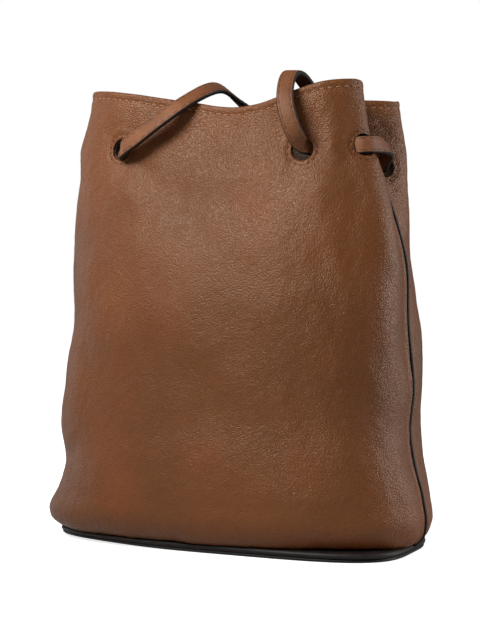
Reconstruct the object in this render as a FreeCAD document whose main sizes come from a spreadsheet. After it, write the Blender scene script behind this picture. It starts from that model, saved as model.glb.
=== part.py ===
import FreeCAD
import Part

import math
import os

from FreeCAD import Vector

# Bucket bag: two leather panels sewn together down both ends, a stiffened base, a lined inside with a
# leather facing round the mouth, and one flat leather strap that is drawstring and shoulder strap in one.
# Frame: origin on the ground under the middle of the base, +X along the bag, +Y to its back, +Z up.
# All sizes are millimetres.

doc = FreeCAD.newDocument("BucketBag")
sheet = doc.addObject("Spreadsheet::Sheet", "Sizes")

SIZES = [
    ("leather_thickness", 1.6),
    ("stay_gap", 0.12),
    ("stay_thickness", 0.7),
    ("facing_thickness", 1.0),
    ("lining_thickness", 0.7),
    ("facing_bottom", 165),
    ("lining_above_sole", 3),
    ("welt_thickness", 1.1),
    ("welt_inset", 2.4),
    ("welt_proud", 1.3),
    ("sewing_gap", 0.1),
    ("hole_radius", 5.75),
    ("stay_radius", 9.5),
    ("stay_layer_margin", 6),
    ("drill_reach", 9),
    ("hole_height", 211),
    ("front_left_hole_height", 215),
    ("right_back_hole_height", 206),
    ("end_hole_distance", 22),
    ("right_front_hole_distance", 33),
    ("right_back_hole_distance", 13),
    ("face_hole_distance", 66),
    ("strap_width", 9),
    ("strap_thickness", 2.6),
    ("strap_clearance", 1.3),
    ("strap_inner_end", 0.6),
    ("end_strap_bow", 7),
    ("end_strap_reach", 92),
    ("end_strap_turn", 15),
    ("back_strap_bow", 5.4),
    ("back_strap_gap", 0.4),
    ("back_strap_half_way", 26),
    ("back_strap_hump", 1),
    ("squareness", 2.6),
    ("fold_width", 15),
    ("dip_width", 38),
    ("base_length", 194),
    ("base_depth", 92),
    ("base_end_radius", 38),
    ("sole_thickness", 2.0),
    ("base_welt_height", 2.2),
    ("base_welt_width", 4),
    ("base_welt_overhang", 2),
    ("base_lining_tuck", 1),
    ("board_thickness", 2.0),
    ("base_lining_thickness", 0.7),
    ("rim_front_middle", 234),
    ("rim_front_offset", 12),
    ("rim_front_radius", 200),
    ("rim_back_middle", 236),
    ("rim_back_radius", 600),
    ("rim_end_height", 240),
    ("rim_end_radius", 50),
    ("rim_end_start", 50),
    ("rim_cutter_reach", 70),
]

# One station of the bag's outline: height, half length, half depth, depth of the fold at each end, and how
# far the middle of each face falls in (a negative value bulges out).
STATIONS = [
    ("sole", 4.6, 98, 48, 0, 0),
    ("roll", 12, 106, 55, 0, 0),
    ("hip", 28, 108.5, 58, 0, 0),
    ("waist", 52, 104.5, 56, 0.5, -1),
    ("belly", 84, 104, 54, 3, -2),
    ("chest", 119, 104, 54, 5, -2),
    ("shoulder", 154, 102, 51, 9, 0),
    ("neck", 189, 98, 46, 18, 3),
    ("throat", 219, 94, 43, 25, 5),
    ("mouth", 262, 90, 39, 29, 9),
]
STATION_COLUMNS = ["height", "half_length", "half_depth", "fold", "dip"]


def fill_sheet():
    """Write every driving dimension in its own cell, with its alias."""
    rows = list(SIZES)
    for station in STATIONS:
        for column, value in zip(STATION_COLUMNS, station[1:]):
            rows.append((f"{station[0]}_{column}", value))
    for row, (alias, value) in enumerate(rows, start=1):
        sheet.set(f"A{row}", alias)
        sheet.set(f"B{row}", str(value))
        sheet.setAlias(f"B{row}", alias)
    doc.recompute()


def size(alias):
    """The value of one cell of the sheet."""
    return float(getattr(sheet, alias))


fill_sheet()

STATION_NAMES = [station[0] for station in STATIONS]
HEIGHTS = [size(f"{name}_height") for name in STATION_NAMES]
LEATHER = size("leather_thickness")
STAY_OUTER = LEATHER + size("stay_gap")
STAY_INNER = STAY_OUTER + size("stay_thickness")
FACING_OUTER = STAY_INNER + size("stay_gap")
FACING_INNER = FACING_OUTER + size("facing_thickness")
LINING_INNER = FACING_OUTER + size("lining_thickness")
SEAM_Y = size("welt_thickness") / 2 + size("sewing_gap")
TOP = size("mouth_height")
BOTTOM = size("sole_height")
HOLE_Z = size("hole_height")
FRONT, BACK = -1, 1
RIGHT, LEFT = 1, -1


# ---- the outline of the bag at any height ----------------------------------------------------------------

def at_height(column, z):
    """A station value at height z, by a cubic through the stations that never overshoots them."""
    values = [size(f"{name}_{column}") for name in STATION_NAMES]
    steps = [b - a for a, b in zip(HEIGHTS, HEIGHTS[1:])]
    slopes = [(b - a) / step for a, b, step in zip(values, values[1:], steps)]
    tangents = [slopes[0]]
    for before, after in zip(slopes, slopes[1:]):
        same_way = before * after > 0
        tangents.append(2 * before * after / (before + after) if same_way else 0.0)
    tangents.append(slopes[-1])
    span = 0
    while span < len(steps) - 1 and z > HEIGHTS[span + 1]:
        span += 1
    step = steps[span]
    u = min(max((z - HEIGHTS[span]) / step, 0.0), 1.0)
    start = values[span] * (1 + 2 * u) * (1 - u) ** 2
    end = values[span + 1] * u * u * (3 - 2 * u)
    lean = step * u * (1 - u) * (tangents[span] * (1 - u) - tangents[span + 1] * u)
    return start + end + lean


def smooth_step(value, middle, width):
    return 1 / (1 + math.exp(-(value - middle) / width))


def fine_outline(z):
    """The back half of the outline at height z, from the right seam to the left one, closely spaced."""
    half_length = at_height("half_length", z)
    half_depth = at_height("half_depth", z)
    fold = at_height("fold", z)
    dip = at_height("dip", z)
    power = 2 / size("squareness")
    count = 720
    points = []
    for i in range(count + 1):
        angle = math.pi * i / count
        way = 1 if i <= count / 2 else -1
        x = half_length * way * abs(math.cos(angle)) ** power
        y = half_depth * abs(math.sin(angle)) ** power
        near_end = smooth_step(abs(x), 0.55 * half_length, 0.06 * half_length)
        near_face = smooth_step(y, 0.5 * half_depth, 0.06 * half_depth)
        folded_x = x - way * fold * near_end * math.exp(-(y / size("fold_width")) ** 2)
        dipped_y = y - dip * near_face * math.exp(-(x / size("dip_width")) ** 2)
        points.append((folded_x, dipped_y))
    return points


def arc_lengths(points):
    lengths = [0.0]
    for (ax, ay), (bx, by) in zip(points, points[1:]):
        lengths.append(lengths[-1] + math.hypot(bx - ax, by - ay))
    return lengths


def point_at(points, lengths, distance):
    """Point and outward normal at a distance along a finely spaced outline."""
    i = 1
    while i < len(lengths) - 1 and lengths[i] < distance:
        i += 1
    (ax, ay), (bx, by) = points[i - 1], points[i]
    share = (distance - lengths[i - 1]) / (lengths[i] - lengths[i - 1])
    (cx, cy), (dx, dy) = points[max(i - 3, 0)], points[min(i + 2, len(points) - 1)]
    run = math.hypot(dx - cx, dy - cy)
    normal = ((dy - cy) / run, -(dx - cx) / run)
    return (ax + share * (bx - ax), ay + share * (by - ay)), normal


def half_outline(z, side, depth):
    """Points of one panel's outline at height z, moved inwards by depth, from right seam to left seam."""
    points = fine_outline(z)
    lengths = arc_lengths(points)
    first = next(i for i, point in enumerate(points) if point[1] >= SEAM_Y)
    start = lengths[first]
    end = lengths[-1] - start
    count = 18
    outline = []
    for i in range(count + 1):
        distance = start + (end - start) * (1 - math.cos(math.pi * i / count)) / 2
        (x, y), (nx, ny) = point_at(points, lengths, distance)
        if i in (0, count):
            nx, ny = math.copysign(1, x), 0.0
        y_inside = max(y - depth * ny, SEAM_Y)
        outline.append(Vector(x - depth * nx, side * y_inside, z))
    return outline


def spline(points):
    count = len(points) - 1
    curve = Part.BSplineCurve()
    parameters = [(1 - math.cos(math.pi * i / count)) / 2 for i in range(count + 1)]
    curve.interpolate(Points=points, Parameters=parameters)
    return curve.toShape()


def wall_section(z, side, outer, inner):
    """Closed wire between two depths of one panel's outline."""
    outside = half_outline(z, side, outer)
    inside = half_outline(z, side, inner)[::-1]
    edges = [
        spline(outside),
        Part.makeLine(outside[-1], inside[0]),
        spline(inside),
        Part.makeLine(inside[-1], outside[0]),
    ]
    return Part.Wire(edges)


def levels(low, high):
    """Heights of the sections of a wall: the stations between two heights, and the middles between them."""
    inside = [low] + [height for height in HEIGHTS if low + 3 < height < high - 3] + [high]
    middles = [(a + b) / 2 for a, b in zip(inside, inside[1:])]
    return sorted(inside + middles)


def wall(side, outer, inner, low, high):
    """One half of the bag's wall between two depths and two heights."""
    sections = [wall_section(z, side, outer, inner) for z in levels(low, high)]
    return Part.makeLoft(sections, True, False)


# ---- the rim and the holes -------------------------------------------------------------------------------

def rim_cutter(side):
    """What is cut off above the rim: a wide dip across the face and a narrow one over each end seam."""
    reach = size("rim_cutter_reach")
    if side == FRONT:
        middle, radius, centre_x = size("rim_front_middle"), size("rim_front_radius"), size("rim_front_offset")
    else:
        middle, radius, centre_x = size("rim_back_middle"), size("rim_back_radius"), 0
    face = Part.makeCylinder(radius, reach, Vector(centre_x, 0, middle + radius), Vector(0, side, 0))
    end_radius = size("rim_end_radius")
    centre_z = size("rim_end_height") + end_radius
    ends = []
    for end in (RIGHT, LEFT):
        start = Vector(end * size("rim_end_start"), 0, centre_z)
        ends.append(Part.makeCylinder(end_radius, reach, start, Vector(end, 0, 0)))
    return face.fuse(ends)


class Hole:
    """One hole for the strap: its place on the outer surface and the wall's outward normal there."""

    def __init__(self, side, end, distance, height=HOLE_Z):
        points = fine_outline(height)
        (x, y), (nx, ny) = point_at(points, arc_lengths(points), distance)
        self.centre = Vector(end * x, side * y, height)
        self.normal = Vector(end * nx, side * ny, 0)

    def out(self, distance):
        """The point at a distance outside the wall, or inside it when negative."""
        return self.centre + self.normal * distance

    def drill(self, radius):
        reach = size("drill_reach")
        return Part.makeCylinder(radius, 2 * reach, self.out(-reach), self.normal)


END_HOLE = size("end_hole_distance")
FACE_HOLE = size("face_hole_distance")
HOLES = {
    "front_left": Hole(FRONT, LEFT, FACE_HOLE, size("front_left_hole_height")),
    "front_right": Hole(FRONT, RIGHT, FACE_HOLE),
    "right_front": Hole(FRONT, RIGHT, size("right_front_hole_distance")),
    "right_back": Hole(BACK, RIGHT, size("right_back_hole_distance"), size("right_back_hole_height")),
    "back_right": Hole(BACK, RIGHT, FACE_HOLE),
    "back_left": Hole(BACK, LEFT, FACE_HOLE),
    "left_back": Hole(BACK, LEFT, END_HOLE),
    "left_front": Hole(FRONT, LEFT, END_HOLE),
}
HOLE_NAMES = {
    FRONT: ["front_left", "front_right", "right_front", "left_front"],
    BACK: ["back_left", "back_right", "right_back", "left_back"],
}


def drilled(shape, side, radius):
    return shape.cut([HOLES[name].drill(radius) for name in HOLE_NAMES[side]])


def add_feature(label, shape):
    """A sub-part whose shape is computed above."""
    feature = doc.addObject("Part::Feature", label)
    feature.Label = label
    feature.Shape = shape
    feature.Placement = FreeCAD.Placement()
    return feature


def make_walls():
    """Outer panels, mouth facings and linings, front and back."""
    facing_low = size("facing_bottom")
    lining_high = facing_low - size("sewing_gap")
    lining_low = BOTTOM + size("lining_above_sole")
    for side, name in ((FRONT, "front"), (BACK, "back")):
        cutter = rim_cutter(side)
        panel = wall(side, 0, LEATHER, BOTTOM, TOP).cut(cutter)
        add_feature(f"{name}_panel", drilled(panel, side, size("hole_radius")))
        facing = wall(side, FACING_OUTER, FACING_INNER, facing_low, TOP).cut(cutter)
        add_feature(f"{name}_facing", drilled(facing, side, size("hole_radius")))
        add_feature(f"{name}_lining", wall(side, FACING_OUTER, LINING_INNER, lining_low, lining_high))


def make_hole_stays():
    """A washer of firm leather round each hole, between the panel and the facing."""
    half_height = size("stay_radius") + size("stay_layer_margin")
    for side in (FRONT, BACK):
        layer = wall(side, STAY_OUTER, STAY_INNER, HOLE_Z - half_height, HOLE_Z + half_height)
        for name in HOLE_NAMES[side]:
            hole = HOLES[name]
            washer = hole.drill(size("stay_radius")).cut(hole.drill(size("hole_radius") + 0.1))
            add_feature(f"hole_stay_{name}", layer.common(washer))


def make_end_welts():
    """The edge-painted strip of seam allowance between the two panels, at each end of the bag."""
    thickness = size("welt_thickness")
    heights = levels(BOTTOM + size("sewing_gap"), size("rim_end_height"))
    for end, name in ((RIGHT, "right"), (LEFT, "left")):
        seam = [(fine_outline(z)[0][0], z) for z in heights]
        outside = [Vector(end * (x + size("welt_proud")), -thickness / 2, z) for x, z in seam]
        inside = [Vector(end * (x - size("welt_inset")), -thickness / 2, z) for x, z in seam][::-1]
        edges = []
        for points in (outside, inside):
            curve = Part.BSplineCurve()
            curve.interpolate(points)
            edges.append(curve.toShape())
            other = inside if points is outside else outside
            edges.append(Part.makeLine(points[-1], other[0]))
        profile = Part.Face(Part.Wire(edges))
        add_feature(f"{name}_end_welt", profile.extrude(Vector(0, thickness, 0)))


# ---- the base: pads of a four-arc oval -------------------------------------------------------------------

def oval_arcs(inset):
    """Four tangent arcs: two round the ends and two along the faces, all moved inwards by inset."""
    half_length = size("base_length") / 2 - inset
    half_depth = size("base_depth") / 2 - inset
    end_radius = size("base_end_radius") - inset
    end_x = half_length - end_radius
    face_radius = (end_x ** 2 + half_depth ** 2 - end_radius ** 2) / (2 * (half_depth - end_radius))
    face_y = face_radius - half_depth
    turn = math.atan2(face_y, end_x)
    up = Vector(0, 0, 1)
    arcs = []
    for centre, radius, start, end in (
        (Vector(end_x, 0, 0), end_radius, -turn, turn),
        (Vector(0, -face_y, 0), face_radius, turn, math.pi - turn),
        (Vector(-end_x, 0, 0), end_radius, math.pi - turn, math.pi + turn),
        (Vector(0, face_y, 0), face_radius, math.pi + turn, 2 * math.pi - turn),
    ):
        arcs.append(Part.ArcOfCircle(Part.Circle(centre, up, radius), start, end))
    return arcs


def add_oval_pad(label, insets, bottom, height):
    """A body with one pad: the space between two ovals, or a full plate when only one inset is given.
    bottom and height are expressions of the sheet's aliases."""
    body = doc.addObject("PartDesign::Body", label)
    body.Label = label
    ground = next(item for item in body.Origin.OriginFeatures if item.Role == "XY_Plane")
    sketch = body.newObject("Sketcher::SketchObject", f"{label}_outline")
    sketch.AttachmentSupport = [(ground, "")]
    sketch.MapMode = "FlatFace"
    sketch.setExpression("AttachmentOffset.Base.z", bottom)
    for inset in insets:
        sketch.addGeometry(oval_arcs(inset), False)
    pad = body.newObject("PartDesign::Pad", f"{label}_pad")
    pad.Profile = sketch
    pad.setExpression("Length", height)
    body.Tip = pad
    return body


def make_base():
    """Leather sole, edge-painted welt round it, stiffening board and inner lining."""
    sheet_name = "Sizes"
    gap = size("sewing_gap")
    welt_width = size("base_welt_width")
    above_sole = f"{sheet_name}.sole_thickness + {sheet_name}.sewing_gap"
    above_board = f"{above_sole} + {sheet_name}.board_thickness + {sheet_name}.sewing_gap"
    overhang = size("base_welt_overhang")
    board_inset = welt_width + gap - overhang
    lining_inset = board_inset + LINING_INNER - size("base_lining_tuck")
    add_oval_pad("base_sole", [0], "0", f"{sheet_name}.sole_thickness")
    add_oval_pad("base_welt", [-overhang, welt_width - overhang], above_sole, f"{sheet_name}.base_welt_height")
    add_oval_pad("base_board", [board_inset], above_sole, f"{sheet_name}.board_thickness")
    add_oval_pad("base_lining", [lining_inset], above_board, f"{sheet_name}.base_lining_thickness")


# ---- the strap -------------------------------------------------------------------------------------------

def rounded_path(points):
    """Straight runs between the points, joined by tangent arcs as large as the runs allow."""
    edges = []
    radii = []
    start = points[0]
    for before, corner, after in zip(points, points[1:], points[2:]):
        back = before - corner
        ahead = after - corner
        trim = 0.45 * min(back.Length, ahead.Length)
        half_turn = (math.pi - back.getAngle(ahead)) / 2
        radius = trim / math.tan(half_turn)
        back.normalize()
        ahead.normalize()
        towards_centre = back + ahead
        towards_centre.normalize()
        middle = corner + towards_centre * (radius / math.cos(half_turn) - radius)
        arc_start = corner + back * trim
        arc_end = corner + ahead * trim
        edges.append(Part.LineSegment(start, arc_start).toShape())
        edges.append(Part.Arc(arc_start, middle, arc_end).toShape())
        radii.append(radius)
        start = arc_end
    edges.append(Part.LineSegment(start, points[-1]).toShape())
    return Part.Wire(edges), radii


def make_ribbon(label, points):
    """A stretch of flat strap on edge against the wall, along a level route."""
    path, radii = rounded_path(points)
    ahead = points[1] - points[0]
    ahead.normalize()
    across = ahead.cross(Vector(0, 0, 1)) * (size("strap_thickness") / 2)
    up = Vector(0, 0, size("strap_width") / 2)
    start = points[0]
    corners = [start + across + up, start + across - up, start - across - up, start - across + up]
    profile = Part.makePolygon(corners + corners[:1])
    add_feature(label, path.makePipeShell([profile], True, False))
    print(f"{label}: smallest radius {min(radii):.1f}")


def make_threaded_strap():
    """The strap where it runs round the mouth, in at one hole and out at the next. Each stretch inside the
    bag ends just outside its hole, and the stretch outside starts a hair further out."""
    inside = -(FACING_INNER + size("strap_thickness") / 2 + size("strap_clearance"))
    inner_end = size("strap_inner_end")
    outer_start = inner_end + size("sewing_gap")
    for side, side_name in ((FRONT, "front"), (BACK, "back")):
        for end, end_name in ((RIGHT, "right"), (LEFT, "left")):
            face_hole = HOLES[f"{side_name}_{end_name}"]
            end_hole = HOLES[f"{end_name}_{side_name}"]
            route = [face_hole.out(inner_end), face_hole.out(inside), end_hole.out(inside), end_hole.out(inner_end)]
            make_ribbon(f"strap_inner_{side_name}_{end_name}", route)
    bow = size("end_strap_bow")
    for end, end_name in ((RIGHT, "right"), (LEFT, "left")):
        front_hole = HOLES[f"{end_name}_front"]
        back_hole = HOLES[f"{end_name}_back"]
        lobe_x = end * size("end_strap_reach")
        over_fold = [Vector(lobe_x, y, HOLE_Z) for y in (-size("end_strap_turn"), 0)] if end == RIGHT else []
        route = [front_hole.out(outer_start), front_hole.out(bow), *over_fold]
        route += [back_hole.out(bow), back_hole.out(outer_start)]
        make_ribbon(f"strap_outer_{end_name}", route)
    bow = size("back_strap_bow")
    right_hole = HOLES["back_right"]
    left_hole = HOLES["back_left"]
    middle = at_height("half_depth", HOLE_Z) + size("back_strap_gap")
    half_way = size("back_strap_half_way")
    hump = size("back_strap_hump")
    route = [
        right_hole.out(outer_start),
        right_hole.out(bow),
        Vector(half_way, middle + hump, HOLE_Z),
        Vector(0, middle, HOLE_Z),
        Vector(-half_way, middle + hump, HOLE_Z),
        left_hole.out(bow),
        left_hole.out(outer_start),
    ]
    make_ribbon("strap_outer_back", route)


# Routes of the free strap. The left run climbs out of the front left hole, over the front rim and across
# the mouth; the right run does the same from the front right hole. Both pass over the back rim and hang
# down the back as one loop.
LEFT_RISE = [
    (-52.6, -40.3, 214.9),
    (-47.4, -44.8, 218.6),
    (-39.6, -46.2, 223.4),
    (-28.8, -45.6, 229.8),
    (-16.4, -42.8, 236.8),
    (-8.7, -35.0, 243.0),
    (-5.6, -24.8, 246.8),
    (-4.3, -15.8, 247.8),
]
LEFT_BRIDGE = [
    (-3.2, -8.8, 247.0),
    (-2.0, 3.0, 244.6),
    (-0.8, 16.0, 242.2),
    (-0.4, 29.0, 240.8),
    (-0.6, 41.0, 240.2),
]
RIGHT_RISE = [
    (53.8, -40.6, 210.6),
    (53.2, -45.4, 214.8),
    (51.4, -47.0, 223.2),
    (48.3, -46.2, 234.0),
    (46.4, -39.5, 244.2),
    (45.0, -29.5, 250.4),
    (44.4, -18.6, 252.6),
]
RIGHT_BRIDGE = [
    (44.0, -8.6, 251.0),
    (43.4, 3.5, 247.4),
    (42.6, 16.5, 244.8),
    (41.8, 29.0, 243.4),
    (41.0, 41.0, 242.4),
]
LOOP = [
    (-1.2, 50.6, 235.6),
    (-1.9, 54.5, 224.0),
    (-3.0, 56.0, 207.0),
    (-4.6, 58.5, 183.0),
    (-7.0, 60.5, 155.0),
    (-9.6, 61.5, 124.0),
    (-12.0, 62.3, 92.0),
    (-12.2, 63.4, 64.0),
    (-9.4, 64.4, 42.0),
    (0.6, 65.2, 24.5),
    (18.6, 65.6, 17.0),
    (37.6, 65.3, 23.5),
    (49.0, 64.5, 41.0),
    (52.4, 63.4, 64.0),
    (51.6, 62.3, 92.0),
    (48.8, 61.4, 124.0),
    (46.0, 60.4, 155.0),
    (43.8, 58.4, 183.0),
    (42.0, 56.0, 207.0),
    (41.4, 54.5, 224.0),
    (41.0, 50.6, 235.6),
]
FREE_STRAP = {
    "strap_rise_left": LEFT_RISE,
    "strap_bridge_left": LEFT_BRIDGE,
    "strap_rise_right": RIGHT_RISE,
    "strap_bridge_right": RIGHT_BRIDGE,
    "strap_loop": LOOP,
}


def make_free_strap():
    """The free strap, as plain round tubes with the flat strap's own cross-section area."""
    section = size("strap_width") * size("strap_thickness")
    tube_radius = math.sqrt(section / math.pi)
    for label, route in FREE_STRAP.items():
        points = [Vector(*point) for point in route]
        path, radii = rounded_path(points)
        start = Part.Circle(points[0], points[1] - points[0], tube_radius).toShape()
        tube = path.makePipeShell([Part.Wire(start)], True, False)
        expected = math.pi * tube_radius ** 2 * path.Length
        print(f"{label}: length {path.Length:.1f}, smallest radius {min(radii):.1f}, "
              f"volume {tube.Volume / expected:.4f} of section times length")
        print("   radii " + " ".join(f"{radius:.0f}" for radius in radii))
        add_feature(label, tube)


make_walls()
make_hole_stays()
make_end_welts()
make_base()
make_threaded_strap()
make_free_strap()
doc.recompute()


# ---- checks and files ------------------------------------------------------------------------------------

def sub_parts():
    return [item for item in doc.Objects if item.TypeId in ("Part::Feature", "PartDesign::Body")]


for item in doc.Objects:
    if "Invalid" in item.State or "Error" in item.State:
        raise RuntimeError(f"{item.Label} failed: {item.State}")
for item in sub_parts():
    if item.Shape.isNull() or not item.Shape.isValid() or item.Shape.Volume <= 0:
        raise RuntimeError(f"{item.Label} has no valid shape")

os.makedirs("parts", exist_ok=True)
for item in sub_parts():
    item.Shape.exportStep(f"parts/{item.Label}.step")
    print(f"{item.Label}: {len(item.Shape.Solids)} solid, {item.Shape.Volume / 1000:.2f} cm3")
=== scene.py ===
import math

import bpy
import numpy as np
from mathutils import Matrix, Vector, noise


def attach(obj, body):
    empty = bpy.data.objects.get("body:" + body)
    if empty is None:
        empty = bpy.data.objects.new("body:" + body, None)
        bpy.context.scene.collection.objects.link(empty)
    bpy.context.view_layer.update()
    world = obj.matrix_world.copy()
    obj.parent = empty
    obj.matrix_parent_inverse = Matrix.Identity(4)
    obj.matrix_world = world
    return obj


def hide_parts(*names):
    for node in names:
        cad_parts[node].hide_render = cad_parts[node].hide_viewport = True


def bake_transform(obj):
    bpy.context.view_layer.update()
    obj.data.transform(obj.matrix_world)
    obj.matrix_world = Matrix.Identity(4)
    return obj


# Looks of the bucket bag: a lofted leather shell that sags and creases, a lined inside, a flat stitched
# strap threaded through eight holes, and the free part of that strap over the mouth and down the back.
# The frame is the CAD one: origin on the ground under the base, +X along the bag, +Y to its back, +Z up.
# Lengths in the tables below are millimetres and are turned into metres where meshes are made.

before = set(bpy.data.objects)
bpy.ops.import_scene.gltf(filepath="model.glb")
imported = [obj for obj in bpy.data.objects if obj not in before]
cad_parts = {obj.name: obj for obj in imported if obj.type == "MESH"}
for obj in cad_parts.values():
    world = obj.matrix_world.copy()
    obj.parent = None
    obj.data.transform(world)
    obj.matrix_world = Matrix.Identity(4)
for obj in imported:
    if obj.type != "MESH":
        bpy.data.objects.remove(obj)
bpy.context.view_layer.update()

MM = 0.001
FRONT, BACK = -1, 1
RIGHT, LEFT = 1, -1

# ---- camera and light ------------------------------------------------------------------------------------

CAMERA_AZIMUTH = math.radians(25)
CAMERA_DISTANCE = 0.75
CAMERA_HEIGHT = 0.122
CAMERA_LENS, CAMERA_SENSOR = 75.9375, 36.0     # millimetres
CAMERA_AIM_RIGHT = 0.0017           # how far right of the bag's axis the camera looks
AMBIENT = 0.18                      # how bright the surroundings are as light, where white is 1
LIGHT_AIM_HEIGHT = 0.14
FLOOR_REACH = 6


def turned(x, y):
    """A point on the ground given along the camera's right and forward directions."""
    right = Vector((math.cos(CAMERA_AZIMUTH), math.sin(CAMERA_AZIMUTH), 0))
    ahead = Vector((-math.sin(CAMERA_AZIMUTH), math.cos(CAMERA_AZIMUTH), 0))
    return right * x + ahead * y


def put_up(name, data, right, ahead, height, target=None):
    """A camera or light at a place along the camera's directions, turned to a target or straight ahead."""
    thing = bpy.data.objects.new(name, data)
    bpy.context.scene.collection.objects.link(thing)
    place = turned(right, ahead)
    place.z = height
    thing.location = place
    way = turned(0, 1) if target is None else target - place
    thing.rotation_euler = way.to_track_quat("-Z", "Y").to_euler()
    return thing


def make_camera():
    data = bpy.data.cameras.new("camera")
    data.sensor_width = CAMERA_SENSOR
    data.lens = CAMERA_LENS
    data.clip_start = 0.01
    bpy.context.scene.camera = put_up("camera", data, CAMERA_AIM_RIGHT, -CAMERA_DISTANCE, CAMERA_HEIGHT)


def make_area_light(name, right, ahead, height, size, power):
    data = bpy.data.lights.new(name, "AREA")
    data.shape = "RECTANGLE"
    data.size, data.size_y = size
    data.energy = power
    put_up(name, data, right, ahead, height, Vector((0, 0, LIGHT_AIM_HEIGHT)))


def make_world():
    """A white studio that lights the bag evenly but weakly, and looks white itself."""
    world = bpy.data.worlds.new("studio")
    bpy.context.scene.world = world
    world.use_nodes = True
    tree = world.node_tree
    background = tree.nodes["Background"]
    background.inputs["Color"].default_value = (1, 1, 1, 1)
    rays = tree.nodes.new("ShaderNodeLightPath")
    strength = tree.nodes.new("ShaderNodeMapRange")
    strength.inputs["To Min"].default_value = AMBIENT
    strength.inputs["To Max"].default_value = 1.0
    tree.links.new(rays.outputs["Is Camera Ray"], strength.inputs["Value"])
    tree.links.new(strength.outputs["Result"], background.inputs["Strength"])


def make_stage():
    """White floor and sky, a large soft light above and in front, and weaker ones at the sides."""
    scene = bpy.context.scene
    scene.view_settings.view_transform = "Standard"
    make_world()
    mesh = bpy.data.meshes.new("floor")
    corners = [(x * FLOOR_REACH, y * FLOOR_REACH, 0) for x, y in ((-1, -1), (1, -1), (1, 1), (-1, 1))]
    mesh.from_pydata(corners, [], [(0, 1, 2, 3)])
    floor = bpy.data.objects.new("floor", mesh)
    scene.collection.objects.link(floor)
    mesh.materials.append(make_floor_material())
    make_area_light("key", -0.335, -0.37, 0.52, (0.28, 0.22), 4.6)
    make_area_light("left_card", -0.85, 0.50, 0.30, (0.5, 0.9), 2.0)
    make_area_light("right_card", 0.95, 0.0, 0.30, (0.35, 0.9), 7.5)


# ---- materials -------------------------------------------------------------------------------------------

class Nodes:
    """A material's node tree, with short calls to add and join nodes."""

    def __init__(self, name):
        self.material = bpy.data.materials.new(name)
        self.material.use_nodes = True
        self.tree = self.material.node_tree
        self.shader = self.tree.nodes["Principled BSDF"]
        self.place = self.add("ShaderNodeTexCoord").outputs["Object"]

    def add(self, kind, **values):
        node = self.tree.nodes.new(kind)
        for name, value in values.items():
            setattr(node, name, value)
        return node

    def join(self, source, target):
        self.tree.links.new(source, target)

    def put(self, value, socket):
        """Joins a value that is a node's output to a socket, or sets the socket to a number or a colour."""
        if isinstance(value, bpy.types.NodeSocket):
            self.join(value, socket)
        elif isinstance(value, tuple):
            socket.default_value = (*value, 1)
        else:
            socket.default_value = value

    def noise(self, scale, detail=3.0, roughness=0.5, stretch=(1, 1, 1)):
        """Noise in the object's own space."""
        mapping = self.add("ShaderNodeMapping")
        mapping.inputs["Scale"].default_value = stretch
        self.join(self.place, mapping.inputs["Vector"])
        node = self.add("ShaderNodeTexNoise")
        node.inputs["Scale"].default_value = scale
        node.inputs["Detail"].default_value = detail
        node.inputs["Roughness"].default_value = roughness
        self.join(mapping.outputs["Vector"], node.inputs["Vector"])
        return node.outputs["Fac"]

    def cells(self, scale, smooth, place=None):
        node = self.add("ShaderNodeTexVoronoi", feature="SMOOTH_F1")
        node.inputs["Scale"].default_value = scale
        node.inputs["Smoothness"].default_value = smooth
        self.join(place or self.place, node.inputs["Vector"])
        return node.outputs["Distance"]

    def ramp(self, source, stops):
        node = self.add("ShaderNodeValToRGB")
        elements = node.color_ramp.elements
        while len(elements) < len(stops):
            elements.new(0.5)
        for element, (position, colour) in zip(elements, stops):
            element.position = position
            element.color = (*colour, 1)
        self.join(source, node.inputs["Fac"])
        return node.outputs["Color"]

    def spread(self, source, low, high, out_low, out_high):
        """A value from out_low to out_high as the source goes from low to high."""
        node = self.add("ShaderNodeMapRange")
        for name, value in (("From Min", low), ("From Max", high), ("To Min", out_low), ("To Max", out_high)):
            node.inputs[name].default_value = value
        self.join(source, node.inputs["Value"])
        return node.outputs["Result"]

    def mix(self, factor, first, second):
        node = self.add("ShaderNodeMix", data_type="RGBA")
        for value, number in ((factor, 0), (first, 6), (second, 7)):
            self.put(value, node.inputs[number])
        return node.outputs[2]

    def maths(self, operation, first, second=0.0):
        node = self.add("ShaderNodeMath", operation=operation)
        self.put(first, node.inputs[0])
        self.put(second, node.inputs[1])
        return node.outputs[0]

    def bump(self, height, distance, below=None):
        """A normal that follows a height, on top of the one below it."""
        node = self.add("ShaderNodeBump")
        node.inputs["Distance"].default_value = distance
        self.join(height, node.inputs["Height"])
        if below is not None:
            self.join(below, node.inputs["Normal"])
        return node.outputs["Normal"]

    def finish(self, colour, roughness, normal, specular, sheen=0.0, gloss_tint=(1, 1, 1)):
        """The finished material, with its looks given as numbers, colours or node outputs."""
        looks = {"Base Color": colour, "Roughness": roughness, "Specular IOR Level": specular,
                 "Sheen Weight": sheen, "Specular Tint": gloss_tint}
        if normal is not None:
            looks["Normal"] = normal
        for name, value in looks.items():
            self.put(value, self.shader.inputs[name])
        return self.material


def linear(red, green, blue):
    """A colour given as screen values from 0 to 255."""
    return tuple((value / 255 / 12.92) if value <= 10 else ((value / 255 + 0.055) / 1.055) ** 2.4
                 for value in (red, green, blue))


PEBBLE_SCALE = 1300.0               # pebbles of the leather's grain in a metre
GLOSS_TINT = (1.0, 0.82, 0.66)      # waxed leather reflects warmer than bare one


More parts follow.
